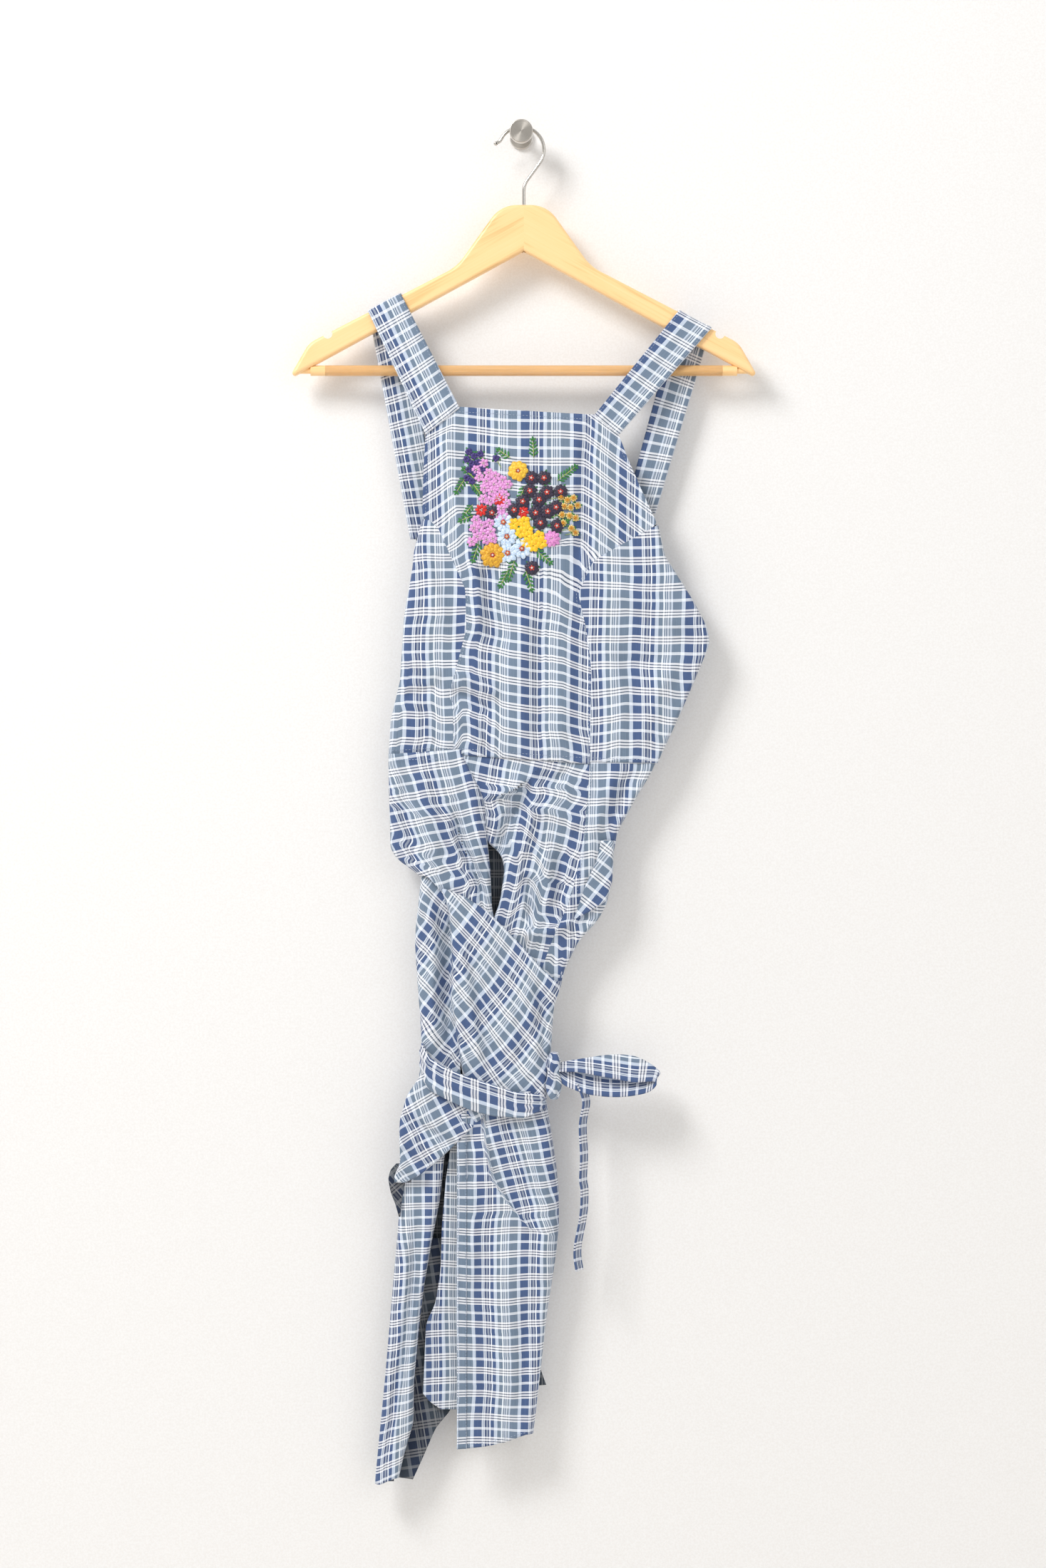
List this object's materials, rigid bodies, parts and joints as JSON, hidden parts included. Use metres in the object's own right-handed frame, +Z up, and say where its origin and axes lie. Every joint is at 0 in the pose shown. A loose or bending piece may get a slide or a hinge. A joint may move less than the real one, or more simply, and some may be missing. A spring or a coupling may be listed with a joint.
{
  "type": "apron on a hook",
  "caption": "Plaid pinafore apron with an embroidered bib, hung by its straps on a wooden hanger from a steel wall peg.",
  "frame": {"origin": "centre of the peg's wall face, on the axis of its wall plug", "axes": "+Y into the wall along the plug, +X to the viewer's right, +Z up"},
  "size_m": [0.4428, 0.093, 1.3033],
  "materials": {
    "plug_nylon": "moulded nylon",
    "bolt_steel": "zinc plated",
    "peg_steel": "turned and brushed stainless steel",
    "hook_steel": "bright plated wire",
    "hanger_wood": "pale beech, clear satin lacquer",
    "bar_wood": "turned beech dowel, clear lacquer",
    "sleeve_vinyl": "clear non-slip vinyl",
    "plaid_cotton": "yarn-dyed blue and white plaid poplin",
    "embroidery_thread": "stranded cotton in many colours"
  },
  "bodies": {
    "peg_assembly": {"wall_plug": "plug_nylon", "hanger_bolt": "bolt_steel", "wall_flange": "peg_steel", "peg": "peg_steel"},
    "hook": {"hanger_hook": "hook_steel"},
    "hanger": {"hanger_arm_left": "hanger_wood", "hanger_arm_right": "hanger_wood", "swivel_bush": "bolt_steel", "retaining_washer": "bolt_steel", "trouser_bar": "bar_wood", "bar_sleeve": "sleeve_vinyl", "bar_brads": "bolt_steel", "strap_over_arm_left": "plaid_cotton", "strap_over_arm_right": "plaid_cotton", "back_strap_upper_left": "plaid_cotton", "back_strap_upper_right": "plaid_cotton"},
    "apron": {"front_strap_left": "plaid_cotton", "front_strap_right": "plaid_cotton", "back_strap_lower_left": "plaid_cotton", "back_strap_lower_right": "plaid_cotton", "bib_centre_panel": "plaid_cotton", "bib_facing": "plaid_cotton", "side_panel_left": "plaid_cotton", "side_panel_right": "plaid_cotton", "embroidered_bouquet": "embroidery_thread", "back_panel_left": "plaid_cotton", "back_panel_right": "plaid_cotton", "skirt_panel_left": "plaid_cotton", "skirt_panel_centre": "plaid_cotton", "skirt_panel_right": "plaid_cotton", "skirt_drape_left": "plaid_cotton", "twisted_wrap_panel": "plaid_cotton", "skirt_panel_back": "plaid_cotton", "belt": "plaid_cotton", "tie_knot": "plaid_cotton", "lower_panel_right": "plaid_cotton", "lower_flap_left": "plaid_cotton", "lower_panel_inner": "plaid_cotton", "lower_flap_reverse": "plaid_cotton", "lower_panel_back": "plaid_cotton", "gathered_roll": "plaid_cotton"},
    "bow": {"bow_loop": "plaid_cotton"},
    "tie_end": {"tie_tail": "plaid_cotton"}
  },
  "joints": [
    {"name": "hanger_swing", "type": "hinge", "parent": "peg_assembly", "child": "hook", "pos_m": [0, -0.028, 0], "axis": [0, 1, 0], "range_deg": [-20, 20]},
    {"name": "hook_swivel", "type": "hinge", "parent": "hook", "child": "hanger", "pos_m": [0.0025, -0.028, -0.09], "axis": [0, 0, 1], "range_deg": [-5, 5]},
    {"name": "apron_sway", "type": "hinge", "parent": "hanger", "child": "apron", "pos_m": [0.0025, -0.028, -0.24215], "axis": [-1, 0, 0], "range_deg": [0, 12]},
    {"name": "bow_lift", "type": "hinge", "parent": "apron", "child": "bow", "pos_m": [0.031, -0.0425, -0.90115], "axis": [0, -1, 0], "range_deg": [0, 20]},
    {"name": "tie_end_swing", "type": "hinge", "parent": "apron", "child": "tie_end", "pos_m": [0.056, -0.0425, -0.92365], "axis": [0, -1, 0], "range_deg": [-5, 30]}
  ]
}
